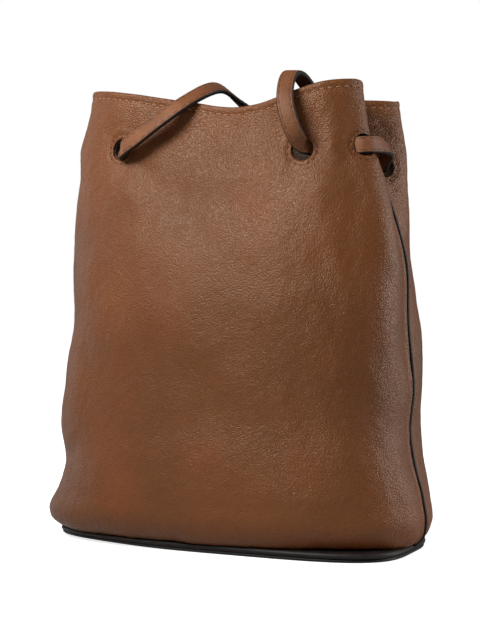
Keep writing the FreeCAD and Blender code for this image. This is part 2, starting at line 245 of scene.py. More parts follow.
def make_floor_material():
    """Paper that fades into the white of the surroundings away from the bag."""
    nodes = Nodes("floor_white")
    tone = nodes.noise(3.0)
    colour = nodes.ramp(tone, [(0.3, (0.59, 0.59, 0.59)), (0.7, (0.61, 0.61, 0.61))])
    distance = nodes.add("ShaderNodeVectorMath", operation="LENGTH")
    nodes.join(nodes.place, distance.inputs[0])
    glow = nodes.spread(distance.outputs["Value"], 0.12, 0.45, 0.80, 1.05)
    rays = nodes.add("ShaderNodeLightPath")
    nodes.shader.inputs["Emission Color"].default_value = (1, 1, 1, 1)
    nodes.join(nodes.maths("MULTIPLY", glow, rays.outputs["Is Camera Ray"]),
               nodes.shader.inputs["Emission Strength"])
    return nodes.finish(colour, 0.9, None, 0.0)


def make_leather(name, dark, light, grain=1.0, valley_shade=0.35):
    """Pebbled leather: mottled colour, close grain with finer wrinkles, and painted shade that darkens the
    grain valleys. grain is how deep the grain is, and the last argument how dark that painted shade is."""
    nodes = Nodes(name)
    mottle = nodes.noise(14.0, 4.0)
    body = nodes.mix(nodes.spread(mottle, 0.3, 0.7, 0, 1), dark, light)
    red = nodes.noise(30.0)
    reddish = tuple(value * factor for value, factor in zip(light, (1.08, 0.86, 0.82)))
    body = nodes.mix(nodes.spread(red, 0.55, 0.75, 0, 0.5), body, reddish)
    warp = nodes.add("ShaderNodeTexNoise")
    warp.inputs["Scale"].default_value = 420.0
    nodes.join(nodes.place, warp.inputs["Vector"])
    shifted = nodes.add("ShaderNodeVectorMath", operation="MULTIPLY_ADD")
    nodes.join(warp.outputs["Color"], shifted.inputs[0])
    shifted.inputs[1].default_value = (0.0011, 0.0011, 0.0011)
    nodes.join(nodes.place, shifted.inputs[2])
    pebbles = nodes.cells(PEBBLE_SCALE, 0.3, shifted.outputs[0])
    fine = nodes.noise(3200.0, 2.0, 0.6)
    creases = nodes.noise(420.0, 5.0, 0.6, (1.0, 1.0, 0.6))
    ridges = nodes.maths("ABSOLUTE", nodes.maths("SUBTRACT", creases, 0.5))
    # Painted shade: the colour darkens in the pebbles' valleys, where shade would fall.
    valley = nodes.spread(pebbles, 0.35, 0.75, 0, 1)
    darker = tuple(value * 0.6 for value in dark)
    body = nodes.mix(nodes.maths("MULTIPLY", valley, valley_shade), body, darker)
    normal = nodes.bump(nodes.maths("MULTIPLY", pebbles, -1.0), 0.00026 * grain)
    normal = nodes.bump(fine, 0.00005 * grain, normal)
    normal = nodes.bump(ridges, 0.00015 * grain, normal)
    gloss = nodes.noise(60.0)
    roughness = nodes.spread(gloss, 0.3, 0.7, 0.31, 0.41)
    roughness = nodes.maths("ADD", roughness, nodes.maths("MULTIPLY", valley, 0.15))
    return nodes.finish(body, roughness, normal, 0.44, gloss_tint=GLOSS_TINT)


def make_strap_leather():
    nodes = Nodes("strap_leather")
    tone = nodes.noise(60.0, 4.0, 0.6)
    body = nodes.ramp(tone, [(0.3, linear(86, 48, 25)), (0.7, linear(120, 71, 41))])
    fibre = nodes.noise(900.0, 4.0, 0.65)
    body = nodes.mix(nodes.spread(fibre, 0.35, 0.7, 0, 0.3), body, linear(152, 99, 66))
    pebbles = nodes.cells(PEBBLE_SCALE, 0.4)
    normal = nodes.bump(nodes.maths("MULTIPLY", pebbles, -1.0), 0.00012)
    normal = nodes.bump(fibre, 0.00012, normal)
    roughness = nodes.spread(fibre, 0.3, 0.7, 0.48, 0.66)
    return nodes.finish(body, roughness, normal, 0.42, gloss_tint=GLOSS_TINT)


def make_edge_paint():
    nodes = Nodes("edge_paint")
    tone = nodes.noise(220.0)
    body = nodes.ramp(tone, [(0.3, linear(15, 11, 9)), (0.75, linear(32, 24, 19))])
    grain = nodes.noise(900.0, 3.0, 0.6)
    normal = nodes.bump(grain, 0.00015)
    return nodes.finish(body, nodes.spread(tone, 0.3, 0.7, 0.45, 0.6), normal, 0.3)


def make_thread(name, tone):
    nodes = Nodes(name)
    twist = nodes.noise(1500.0, 2.0)
    body = nodes.mix(nodes.spread(twist, 0.3, 0.7, 0, 1), tuple(0.7 * value for value in tone), tone)
    normal = nodes.bump(twist, 0.00008)
    return nodes.finish(body, 0.6, normal, 0.3)


def make_lining_cloth():
    """Woven twill: two crossed waves at thread spacing, with slubs."""
    nodes = Nodes("lining_twill")
    height = None
    for direction, turn in (("X", 0.0), ("Z", math.radians(45))):
        mapping = nodes.add("ShaderNodeMapping")
        mapping.inputs["Rotation"].default_value = (0, turn, 0)
        nodes.join(nodes.place, mapping.inputs["Vector"])
        wave = nodes.add("ShaderNodeTexWave", bands_direction=direction)
        wave.inputs["Scale"].default_value = 420.0
        wave.inputs["Distortion"].default_value = 1.5
        nodes.join(mapping.outputs["Vector"], wave.inputs["Vector"])
        threads = wave.outputs["Fac"]
        height = threads if height is None else nodes.maths("MULTIPLY", height, threads)
    slub = nodes.noise(70.0, 4.0)
    body = nodes.mix(nodes.spread(slub, 0.3, 0.7, 0, 1), linear(168, 148, 124), linear(190, 171, 146))
    body = nodes.mix(nodes.spread(height, 0, 1, 0.45, 0), body, linear(118, 100, 80))
    return nodes.finish(body, 0.85, nodes.bump(height, 0.00025), 0.2, 0.3)


def make_fibre_board():
    nodes = Nodes("fibre_board")
    flecks = nodes.noise(700.0, 5.0, 0.7)
    body = nodes.ramp(flecks, [(0.35, linear(70, 58, 46)), (0.7, linear(118, 100, 80))])
    return nodes.finish(body, 0.9, nodes.bump(flecks, 0.0002), 0.2)


LEATHER = make_leather("bag_leather", linear(94, 51, 20), linear(112, 62, 27))
# Painted shade: the facing leather is coloured much darker than the bag's own, standing in for the shade
# inside the mouth.
FACING_LEATHER_IN_PAINTED_SHADE = make_leather("facing_leather_painted_shade", linear(44, 29, 21), linear(60, 41, 30), 0.7, 0.2)
STRAP_LEATHER = make_strap_leather()
EDGE = make_edge_paint()
STAY = make_leather("stay_leather", linear(70, 50, 36), linear(92, 68, 50), 0.5, 0.2)
# This dark thread colours the hole stitches and also the dashes of painted shade between the rim stitches.
DARK_THREAD_AND_GAP_SHADE = make_thread("dark_thread_and_gap_shade", linear(64, 38, 25))
STRAP_THREAD = make_thread("strap_thread", linear(92, 58, 40))
WALL_THREAD = make_thread("brown_thread", linear(164, 116, 86))
LINING = make_lining_cloth()
BOARD = make_fibre_board()

make_camera()
make_stage()


# ---- mesh helpers ----------------------------------------------------------------------------------------

def new_object(name, points, faces, materials, face_materials=None):
    """A mesh piece from points in metres."""
    mesh = bpy.data.meshes.new(name)
    mesh.from_pydata([tuple(point) for point in points], [], [tuple(face) for face in faces])
    for material in materials:
        mesh.materials.append(material)
    if face_materials is not None:
        mesh.polygons.foreach_set("material_index", np.asarray(face_materials, np.int32))
    mesh.polygons.foreach_set("use_smooth", np.full(len(mesh.polygons), True))
    mesh.validate()
    mesh.update()
    piece = bpy.data.objects.new(name, mesh)
    bpy.context.scene.collection.objects.link(piece)
    return piece


def grid_faces(rows, columns, closed=False):
    """Quads over a grid of points numbered row by row; closed joins the last column to the first."""
    count = columns if closed else columns - 1
    row, column = np.meshgrid(np.arange(rows - 1), np.arange(count), indexing="ij")
    beside = (column + 1) % columns
    low, high = row * columns, (row + 1) * columns
    return np.stack([low + column, low + beside, high + beside, high + column], -1).reshape(-1, 4)


def tube_ends(count, columns):
    """The two end faces of a tube of count points with columns points to a ring."""
    return [list(range(columns))[::-1], list(range(count - columns, count))]


def unit(vectors):
    """The same directions at length 1."""
    return vectors / np.maximum(np.linalg.norm(vectors, axis=-1, keepdims=True), 1e-9)


# ---- the leather shell -----------------------------------------------------------------------------------

# The outside at each height: half lengths at the right seam, at the lobes in front of it and behind it, at
# the left lobes and at the left seam, then half depth, width of the fold at the seams, and how far the
# middle of each side is drawn in.
OUTLINES = np.array([
    (4, 101.5, 100.5, 101.5, 103, 100.5, 47, 20, 0),
    (8, 106.0, 105.5, 107, 110.5, 107, 52, 20, 0),
    (14, 108.2, 109, 110, 112, 109, 56, 20, 0),
    (28, 107.2, 109, 108, 103.6, 105.8, 58, 20, 0),
    (46, 102.2, 107, 106.2, 100.4, 102.4, 57, 20, -0.5),
    (64, 99.2, 104.5, 105.4, 104, 102, 55, 20, -1),
    (88, 101.0, 104, 105, 102, 100.5, 54, 20, -2),
    (119, 99.2, 105, 104.5, 96.4, 96.6, 54, 20, -2),
    (154, 97.2, 105.5, 97, 96.6, 94.5, 52, 18, 0),
    (189, 86.5, 101.5, 99.6, 97.4, 81.5, 46.2, 16, 3),
    (219, 71.5, 94, 100.4, 95.6, 71, 42.2, 15, 5),
    (240, 66, 89.8, 97.2, 88.8, 67, 41, 15, 7.4),
    (256, 63, 88.4, 94.6, 85.8, 64.5, 40.6, 15, 9),
])
SQUARENESS = 2.6            # power of the outline's curve, where 2 is an ellipse
DIP_WIDTH = 38.0
BOTTOM_EDGE = 5.4
NOMINAL_GIRTH = 320.0       # about half the way round the bag, to turn shares of it into millimetres

# Height of the rim along each side, by distance from the middle measured along the unfolded length.
RIM_FRONT = np.array([(-92, 243), (-88, 247.6), (-83, 249.6), (-77, 249.8), (-64, 248.3), (-49, 245.8),
                      (-23, 241), (-4.5, 237.5), (4, 235.6), (17.6, 234), (30, 235), (39, 237),
                      (53, 241.5), (63, 244.3), (75, 245.8), (82, 246), (87, 244.5), (92, 241)])
RIM_BACK = np.array([(-92, 240), (-84, 243), (-66, 242), (-40, 238), (0, 235.5), (40, 238), (65, 240.0),
                     (74, 240.8), (83, 241.2), (87, 241.0), (92, 240)])
RIM_LEVEL = 244.0
RIM_FLARE = 1.0             # how far the leather stands out again above the holes

LEATHER_THICKNESS = 1.6
STAY_OFFSET, STAY_THICKNESS, STAY_PLAY = 1.66, 0.6, 0.04
FACING_OFFSET, FACING_THICKNESS = 1.74, 1.0
LINING_OFFSET, LINING_THICKNESS = 1.8, 0.7
LINING_BOTTOM = 4.6
FACING_BOTTOM = 165.0
SEAM_GAP = 1.05             # from the seam's middle to a panel's edge
HOLE_RADIUS = 5.85
HOLE_STITCH_RADIUS = 8.1
STAY_RADIUS = 9.8
HOLE_STITCHES = 14
RIM_STITCH_DEPTH = 4.0
STITCH_PITCH = 4.3
STITCH_LIFT = 0.05          # how far a wall stitch's middle line is off the leather
BASE_HALF_LENGTH = 103.0
BASE_HALF_DEPTH = 47.0
BASE_CURL = 1.8             # how far the sole's left end curls up

# Small relief beside the rim, the seams, the bottom edge and the holes: how far it stands out, at which
# distance, and how wide it is. Stitches pull the leather in, and it swells beside them.
RIM_RELIEF = [(-0.42, RIM_STITCH_DEPTH, 0.7), (0.2, 1.9, 1.2)]
SEAM_RELIEF = [(0.75, SEAM_GAP, 1.9), (-0.35, 5.5, 2.4)]
BOTTOM_RELIEF = [(0.35, 0, 1.6)]
HOLE_RELIEF = [(-0.32, HOLE_STITCH_RADIUS, 0.75), (0.3, 6.6, 0.9), (0.22, 10.2, 1.3)]

# Rounding of a sheet's edges, in the same terms, with its limit and that of the holes' edges.
TOP_ROUNDING, SIDE_ROUNDING, BOTTOM_ROUNDING = [(0.38, 0, 0.34)], [(0.38, 0, 0.5)], [(0.3, 0, 0.5)]
MOST_ROUNDING, HOLE_ROUNDING = 0.4, 0.3
RIM_CROWN = 0.16            # how far a sheet's middle stands above its rounded top edge
INNER_DROP = 0.1            # how far the facing stays below the panel's rim

# Ripples all over the leather: their wavelength, and the seed that sets their directions.
SAG, WRINKLES, FINE_WRINKLES = (48, 11), (17, 12), (7, 13)

# Each hole's side, the point on the shell nearest to its middle, and how deep the leather is drawn in.
HOLES = {
    "front_left": (FRONT, (-52.6, -39.0, 215.4), 1.6),
    "front_right": (FRONT, (54.6, -39.0, 209.8), 2.2),
    "right_front": (FRONT, (84.6, -24.6, 212.2), 1.4),
    "left_front": (FRONT, (-85.0, -17.0, 211.0), 0.3),
    "right_back": (BACK, (82.6, 8.0, 204.0), 0.5),
    "left_back": (BACK, (-85.0, 17.0, 211.0), 0.3),
    "back_left": (BACK, (-53.0, 40.0, 211.0), 1.2),
    "back_right": (BACK, (53.0, 40.0, 211.0), 1.2),
}

# Broad folds of the leather: both ends as (x, z), how wide the fold is and how far it stands out.
FOLDS = {
    FRONT: [((-48, 206), (-14, 188), 8, -0.9), ((-46, 190), (2, 176), 11, 0.8),
            ((38, 224), (32, 176), 12, -1.0), ((69, 238), (65, 186), 8, 1.0),
            ((78, 204), (88, 150), 8, -0.9), ((-99, 40), (-80, 52), 5, -0.8)],
    BACK: [((-50, 204), (-30, 176), 9, -0.9), ((50, 204), (34, 178), 9, -0.9), ((0, 224), (4, 182), 12, 0.8),
           ((72, 230), (76, 150), 9, 0.8), ((-72, 230), (-80, 160), 9, 0.7)],
}


def smooth_table(table, at):
    """Values between the rows of a table, on cubic curves through them; the first column is the position."""
    keys, values = table[:, 0], table[:, 1:]
    slopes = np.gradient(values, keys, axis=0)
    at = np.clip(at, keys[0], keys[-1])
    row = np.clip(np.searchsorted(keys, at) - 1, 0, len(keys) - 2)
    width = (keys[row + 1] - keys[row])[..., None]
    share = (at - keys[row])[..., None] / width
    rest = 1 - share
    return (values[row] * (1 + 2 * share) * rest ** 2 + slopes[row] * width * share * rest ** 2
            + values[row + 1] * (3 - 2 * share) * share ** 2 - slopes[row + 1] * width * share ** 2 * rest)


def step_up(values, middle, width):
    """0 below the middle and 1 above it, with a soft step between."""
    return 1 / (1 + np.exp(-(values - middle) / width))


def bell(values, width):
    return np.exp(-(values / width) ** 2)


def walked_to(line):
    """How far along a line each of its points is."""
    return np.concatenate([[0], np.cumsum(np.linalg.norm(np.diff(line, axis=0), axis=1))])


def bumps_at(distance, bumps):
    """Height of a row of small bumps at a distance from an edge."""
    return sum(proud * bell(distance - middle, width) for proud, middle, width in bumps)


def fold_height(places, start, end, width, proud):
    """Height of one fold over points in space: a soft ridge or valley along a line in the x-z plane."""
    start, way = np.array(start, float), np.subtract(end, start).astype(float)
    apart = places[..., ::2] - start
    share = np.clip(apart @ way / (way @ way), 0, 1)
    away = np.linalg.norm(apart - share[..., None] * way, axis=-1)
    return proud * bell(away, width)


def ripples(places, wavelength, seed, waves=26):
    """Smooth random height over points in space, about 1 high, made of waves in random directions."""
    chance = np.random.default_rng(seed)
    directions = unit(chance.normal(size=(waves, 3)))
    directions *= (2 * math.pi / wavelength * chance.uniform(0.65, 1.5, size=(waves, 1)))
    phases = chance.uniform(0, 2 * math.pi, waves)
    return np.cos(places @ directions.T + phases).sum(-1) / math.sqrt(waves / 2)


class Shell:
    """The outside of one side of the bag. A place on it is a share of the way round, from 0 at the right
    seam to 1 at the left one, and a height."""

    UP = 0.5            # between rows of the net
    FINE = 700          # points in a row
    TOP = 262.0         # height of the last row

    def __init__(self, side):
        self.side = side
        heights = np.arange(0, self.TOP, self.UP)
        turn = np.linspace(0, math.pi, 1600)
        along, away = np.cos(turn), np.sin(turn)
        # The outline at each height: half a superellipse, pinched to the folds at both seams and dipped
        # in the middle, then read off at even steps along it.
        x_unit = np.sign(along) * np.abs(along) ** (2 / SQUARENESS)
        y_unit = np.abs(away) ** (2 / SQUARENESS)
        seam_right, front, back, left, seam_left, depth, fold, dip = smooth_table(OUTLINES, heights).T
        right = front if side == FRONT else back
        half = np.where(x_unit > 0, right[:, None], left[:, None])
        seam = np.where(x_unit > 0, seam_right[:, None], seam_left[:, None])
        y = depth[:, None] * y_unit
        folded = bell(y, fold[:, None]) * step_up(np.abs(x_unit), 0.55, 0.06)
        x = x_unit * (half * (1 - folded) + seam * folded)
        y = y - dip[:, None] * bell(x, DIP_WIDTH) * step_up(y_unit, 0.5, 0.06)
        unfolded = x_unit * half
        share = np.linspace(0, 1, self.FINE)
        self.net = np.empty((len(heights), self.FINE, 2))
        for row in range(len(heights)):
            walked = walked_to(np.stack([x[row], y[row]], 1))
            walked /= walked[-1]
            self.net[row, :, 0] = np.interp(share, walked, x[row])
            self.net[row, :, 1] = side * np.interp(share, walked, y[row])
            if abs(heights[row] - RIM_LEVEL) < self.UP / 2:
                key = np.interp(share, walked, unfolded[row])
        table = RIM_FRONT if side == FRONT else RIM_BACK
        self.rim_line = smooth_table(table, key)[:, 0]
        self.holes = [(*self.find(place), draw) for which, place, draw in HOLES.values() if which == side]

    def find(self, place):
        """The shell's point nearest to a place, with its outward normal."""
        row = int(round(place[2] / self.UP))
        apart = np.linalg.norm(self.net[row] - np.array(place[:2]), axis=1)
        share = float(np.argmin(apart)) / (self.FINE - 1)
        where = np.array([share]), np.array([float(place[2])])
        return self.point(*where)[0], self.normal(*where)[0]

    def point(self, share, height):
        share, height = np.broadcast_arrays(share, height)
        column = np.clip(share, 0, 1) * (self.FINE - 1)
        row = np.clip(height / self.UP, 0, len(self.net) - 1.001)
        i, j = np.floor(row).astype(int), np.minimum(np.floor(column).astype(int), self.FINE - 2)
        up, over = (row - i)[..., None], (column - j)[..., None]
        low = self.net[i, j] * (1 - over) + self.net[i, j + 1] * over
        high = self.net[i + 1, j] * (1 - over) + self.net[i + 1, j + 1] * over
        flat = low * (1 - up) + high * up
        return np.concatenate([flat, height[..., None].astype(float)], -1)

    def normal(self, share, height):
        step = 1.2
        sideways = step / NOMINAL_GIRTH
        along = self.point(share + sideways, height) - self.point(share - sideways, height)
        up = self.point(share, height + step) - self.point(share, height - step)
        return unit(self.side * np.cross(along, up))

    def rim(self, share):
        return np.interp(share, np.linspace(0, 1, self.FINE), self.rim_line)

    def relief(self, share, height):
        """How far the leather's outer face stands out from the smooth shell."""
        place = self.point(share, height)
        upper = step_up(height, 185, 14)
        out = self.broad(place) + (0.10 + 0.16 * upper) * ripples(place * (1, 1, 0.6), *WRINKLES)
        out += 0.05 * ripples(place, *FINE_WRINKLES)
        out += bumps_at(self.rim(share) - height, RIM_RELIEF) + bumps_at(height - BOTTOM_EDGE, BOTTOM_RELIEF)
        out += bumps_at(np.minimum(share, 1 - share) * NOMINAL_GIRTH, SEAM_RELIEF)
        for centre, _, _ in self.holes:
            out += bumps_at(np.linalg.norm(place - centre, axis=-1), HOLE_RELIEF)
        return out

    def broad(self, place):
        """The slow part of the relief: waves, folds, and the leather drawn in round the holes."""
        out = 0.38 * ripples(place, *SAG) + RIM_FLARE * step_up(place[..., 2], 229, 4)
        for start, end, width, proud in FOLDS[self.side]:
            out += fold_height(place, start, end, width, proud)
        for centre, _, draw in self.holes:
            out -= draw * bell(np.linalg.norm(place - centre, axis=-1), 15)
        return out

    def layer(self, share, height, inward):
        """Points on the leather's outer face, or on a layer under it that follows its broad shape."""
        out = self.relief(share, height) if inward == 0 else self.slack(share, height)
        stay = 0.0
        if inward > LEATHER_THICKNESS + 0.1:
            place = self.point(share, height)
            for centre, _, _ in self.holes:
                apart = np.linalg.norm(place - centre, axis=-1)
                stay = stay + (STAY_THICKNESS + STAY_PLAY) * (1 - step_up(apart, STAY_RADIUS + 1.6, 0.5))
        offset = out - inward - stay
        return self.point(share, height) + self.normal(share, height) * np.asarray(offset)[..., None]

    def slack(self, share, height):
        """The part of the relief that the inner layers share."""
        seam = np.minimum(share, 1 - share) * NOMINAL_GIRTH
        return self.broad(self.point(share, height)) + 0.4 * bell(seam, 4)


def strip(first, second):
    """Quads between two rows of point numbers."""
    return np.stack([first[:-1], first[1:], second[1:], second[:-1]], 1)


def open_hole(points, faces, centre, axis, ease):
    """Draws the points round a hole onto its circle, on the outer and the inner face, and rounds its edge
    by ease. Returns which of the outer face's quads the hole takes out."""
    def across(places):
        apart = places - centre
        return apart - (apart @ axis)[:, None] * axis

    outer, _ = points
    near = np.linalg.norm(outer - centre, axis=1) < 3 * HOLE_RADIUS
    inside = near & (np.linalg.norm(across(outer), axis=1) < HOLE_RADIUS)
    gone = inside[faces].all(1)
    edge = np.zeros(len(outer), bool)
    edge[faces[~gone]] = True
    edge &= inside
    for places, way in zip(points, (-1, 1)):
        radial = across(places[edge])
        size = np.maximum(np.linalg.norm(radial, axis=1), 1e-6)
        places[edge] += (HOLE_RADIUS / size - 1)[:, None] * radial + way * axis * ease
    return gone


def sheet_levels(rise, spacing, fine_above):
    """Shares of a sheet's rise at which its rows lie: closer above fine_above and at the rounded top edge."""
    edge = 1.2
    if fine_above is None:
        levels = np.arange(0, rise - edge, spacing)
    else:
        levels = np.concatenate([np.arange(0, fine_above, spacing * 1.22),
                                 np.arange(fine_above, rise - edge, spacing * 0.82)])
    return np.concatenate([levels, [rise - 0.9, rise - 0.5, rise - 0.22, rise]]) / rise


def make_sheet(name, shell, low, high, inward, thickness, spacing, gap, materials, holes=True,
               fine_above=None):
    """A closed sheet that follows the shell from the height low to high, or to the rim where high is None.
    inward is the depth of its outer face, spacing its cell size across and up, gap how far it stays from
    the seams. Its edges and hole walls take the second material."""
    columns = int(round(NOMINAL_GIRTH / spacing)) + 1
    trim = gap / NOMINAL_GIRTH
    share = np.linspace(trim, 1 - trim, columns)
    if high is None:
        top = shell.rim(share) - (INNER_DROP if inward else 0.0)
    else:
        top = np.full(columns, float(high))
    levels = sheet_levels(float(top.mean()) - low, spacing, None if fine_above is None else fine_above - low)
    height = low + (top - low) * levels[:, None]
    share = np.broadcast_to(share, height.shape)
    rows = len(levels)
    count = rows * columns
    side = np.minimum(np.arange(columns), np.arange(columns)[::-1]) * spacing
    thinness = min(thickness / LEATHER_THICKNESS, 1)
    soft = (bumps_at(top - height, TOP_ROUNDING) + bumps_at(side, SIDE_ROUNDING)
            + bumps_at(height - low, BOTTOM_ROUNDING))
    rounding = shell.normal(share, height) * (np.minimum(soft, MOST_ROUNDING) * thinness)[..., None]
    outside = shell.layer(share, height, inward) - rounding
    within = shell.layer(share, height, inward + thickness) + rounding
    crown = (outside[-1] + within[-1]) / 2 + np.array([0, 0, RIM_CROWN])

    way = -1 if shell.side == FRONT else 1
    outer = grid_faces(rows, columns)[:, ::way]
    removed = np.zeros(len(outer), bool)
    points = [outside.reshape(-1, 3), within.reshape(-1, 3)]
    for centre, axis, _ in shell.holes if holes else ():
        removed |= open_hole(points, outer, centre, axis, HOLE_ROUNDING * thinness)
    kept = outer[~removed]

    # Point numbers of the outer face, the inner face and the crown, and the quads that join them.
    first = np.arange(count).reshape(rows, columns)
    second = first + count
    third = np.arange(columns) + 2 * count
    edges = np.concatenate([strip(first[-1], third), strip(third, second[-1]), strip(second[0], first[0]),
                            strip(first[:, 0], second[:, 0]), strip(second[:, -1], first[:, -1])])[:, ::way]
    corners = np.array([[first[-1, 0], third[0], second[-1, 0]],
                        [first[-1, -1], second[-1, -1], third[-1]]])[:, ::way]
    edges = np.concatenate([edges, hole_walls(outer[removed], count)])
    quads = np.concatenate([kept, kept[:, ::-1] + count, edges])
    every = np.concatenate([*points, crown])
    used = np.zeros(len(every), bool)
    used[quads] = True
    numbers = np.cumsum(used) - 1
    kinds = np.repeat([0, 1], [2 * len(kept), len(edges) + len(corners)])
    sheet = new_object(name, every[used] * MM, numbers[quads].tolist() + numbers[corners].tolist(), materials,
                       kinds)
    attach(sheet, "bag")
    return sheet


def hole_walls(removed, count):
    """Quads down the wall of each hole, from the faces taken out of the outer grid; the inner grid's points
    are numbered from count."""
    if not len(removed):
        return np.empty((0, 4), int)
    edges = np.concatenate([removed[:, [i, (i + 1) % 4]] for i in range(4)])
    known = set(map(tuple, edges.tolist()))
    rim = np.array(sorted((a, b) for a, b in known if (b, a) not in known))
    return np.stack([rim[:, 0], rim[:, 1], rim[:, 1] + count, rim[:, 0] + count], 1)


# ---- the free strap: routes first ------------------------------------------------------------------------

STRAP_WIDTH = 9.0
STRAP_THICKNESS = 2.6
STRAP_EDGE_RADIUS = 0.55
STRAP_CROWN = 0.12
STRAP_PAINT = 0.62                              # how far the edge paint reaches over each face
STRAP_STITCH_LINE = STRAP_WIDTH / 2 - 1.5       # from the middle of the strap to its stitches
STRAP_GROOVE_DEPTH, STRAP_GROOVE_WIDTH = 0.17, 0.28
STRAP_UNEVENNESS = 0.0144                       # how much its width varies, as a share

LEFT_RISE = [
    (-51.2, -31.5, 213.4), (-50.9, -39.4, 213.6), (-46.6, -45.2, 215.0), (-38.2, -46.4, 219.2),
    (-28.6, -46.0, 225.4), (-16.6, -43.8, 233.8), (-9.4, -37.0, 240.4), (-5.8, -26.0, 246.2),
    (-4.2, -15.8, 249.2),
]
LEFT_BRIDGE = [
    (-3.2, -8.0, 248.6), (-2.0, 3.0, 245.2), (-0.8, 16.0, 241.6), (-0.4, 29.0, 240.4), (-0.6, 41.0, 240.2),
]
RIGHT_RISE = [
    (60.6, -30.4, 211.0), (56.2, -31.6, 211.2), (54.9, -39.2, 211.9), (53.8, -45.0, 215.6),
    (51.4, -47.0, 223.2), (48.3, -46.2, 234.0), (46.6, -39.8, 245.2), (45.2, -29.8, 251.4),
    (44.4, -18.6, 252.2),
]
RIGHT_BRIDGE = [
    (44.0, -8.6, 249.8), (43.4, 3.5, 245.6), (42.6, 16.5, 243.8), (41.8, 29.0, 243.0), (41.0, 41.0, 242.4),
]
LOOP = [
    (-1.2, 50.6, 235.6), (-1.9, 54.5, 224.0), (-3.0, 56.0, 207.0), (-4.6, 58.5, 183.0),
    (-7.0, 60.5, 155.0), (-9.6, 61.5, 124.0), (-12.0, 62.3, 92.0), (-12.2, 63.4, 64.0), (-9.4, 64.4, 42.0),
    (0.6, 65.2, 24.5), (18.6, 65.6, 17.0), (37.6, 65.3, 23.5), (49.0, 64.5, 41.0), (52.4, 63.4, 64.0),
    (51.6, 62.3, 92.0), (48.8, 61.4, 124.0), (46.0, 60.4, 155.0), (43.8, 58.4, 183.0), (42.0, 56.0, 207.0),
    (41.4, 54.5, 224.0), (41.0, 50.6, 235.6),
]
BRIDGE_SHARE = 3        # how many bridge points belong to the run from the hole; the rest go with the loop


def smooth_line(points):
    """Points a millimetre apart along the smooth curve whose control points are given."""
    curve = bpy.data.curves.new("route", "CURVE")
    curve.dimensions = "3D"
    line = curve.splines.new("NURBS")
    line.points.add(len(points) - 1)
    for place, point in zip(line.points, points):
        place.co = (point[0] * MM, point[1] * MM, point[2] * MM, 1)
    line.order_u = 3
    line.use_endpoint_u = True
    line.resolution_u = 16
    holder = bpy.data.objects.new("route", curve)
    bpy.context.scene.collection.objects.link(holder)
    bpy.context.view_layer.update()
    mesh = bpy.data.meshes.new_from_object(holder.evaluated_get(bpy.context.evaluated_depsgraph_get()))
    route = np.array([vertex.co for vertex in mesh.vertices]) / MM
    bpy.data.meshes.remove(mesh)
    bpy.data.objects.remove(holder)
    bpy.data.curves.remove(curve)
    return even(route, 1.0)


def even(route, spacing):
    """The same line with evenly spaced points."""
    lengths = walked_to(route)
    count = max(int(round(lengths[-1] / spacing)), 2)
    targets = np.linspace(0, lengths[-1], count + 1)
    return np.stack([np.interp(targets, lengths, route[:, axis]) for axis in range(3)], 1)


def line_length(route):
    return float(np.linalg.norm(np.diff(route, axis=0), axis=1).sum())


def strap_frames(route, hints):
    """Tangent, width direction and face normal along a route. Each hint for the normal is a share of the
    route's length and a direction."""
    tangent = unit(np.gradient(route, axis=0))
    share = np.linspace(0, 1, len(route))
    stops, ways = zip(*hints)
    hint = np.stack([np.interp(share, stops, values) for values in zip(*ways)], 1)
    face = unit(hint - tangent * np.sum(hint * tangent, axis=1, keepdims=True))
    across = np.cross(tangent, face)
    return tangent, across, face


def strap_section():
    """The strap's outline across it, with rounded edges, crowned faces and a groove under each stitch row."""
    half_width = STRAP_WIDTH / 2
    half_thickness = STRAP_THICKNESS / 2
    points = []
    for i in range(5):
        angle = math.pi / 2 * i / 4
        points.append((half_width - STRAP_EDGE_RADIUS * (1 - math.cos(angle)),
                       (half_thickness - STRAP_CROWN) * math.sin(angle)))
    for x in (3.65, 3.3, 3.0, 2.7, 2.3, 1.2, 0.0):
        crown = STRAP_CROWN * (1 - (x / half_width) ** 2)
        groove = STRAP_GROOVE_DEPTH * bell(x - STRAP_STITCH_LINE, STRAP_GROOVE_WIDTH)
        points.append((x, half_thickness - 0.05 + crown - groove))
    top = points + [(-x, y) for x, y in points[::-1][1:]]
    bottom = [(x, -y) for x, y in top[::-1][1:-1]]
    return np.array(top + bottom)


def make_strap_mesh(name, route, hints):
    """A flat strap swept along a route: two leather faces, painted edges and closed ends."""
    _, across, face = strap_frames(route, hints)
    section = strap_section()
    rings = []
    for i, centre in enumerate(route):
        swell = 1 + STRAP_UNEVENNESS * noise.noise(Vector(centre) * 0.08)
        offset = section * np.array([swell, 1.0])
        rings.append(centre + offset[:, :1] * across[i] + offset[:, 1:] * face[i])
    columns = len(section)
    points = np.concatenate(rings)
    quads = grid_faces(len(route), columns, closed=True).tolist()
    middles = np.abs(section[:, 0] + np.roll(section[:, 0], -1)) / 2
    painted = (middles > STRAP_WIDTH / 2 - STRAP_PAINT).astype(int)
    kinds = np.concatenate([np.tile(painted, len(route) - 1), [1, 1]])
    faces = quads + tube_ends(len(points), columns)
    return new_object(name, points * MM, faces, [STRAP_LEATHER, EDGE], kinds)


def thread_shape(length, thickness):
    """One stitch lying along X: a short round thread, pointed where it goes into the leather."""
    ring = 6
    half = thickness / 2
    stations = [(-0.5, 0.25, -0.5), (-0.38, 0.85, 0.05), (0.0, 1.0, 0.3), (0.38, 0.85, 0.05),
                (0.5, 0.25, -0.5)]
    points = []
    for share, size, lift in stations:
        for i in range(ring):
            angle = 2 * math.pi * i / ring
            points.append((share * length, half * size * math.cos(angle),
                           half * size * math.sin(angle) + lift * half))
    faces = grid_faces(len(stations), ring, closed=True).tolist()
    return np.array(points), faces + tube_ends(len(points), ring)


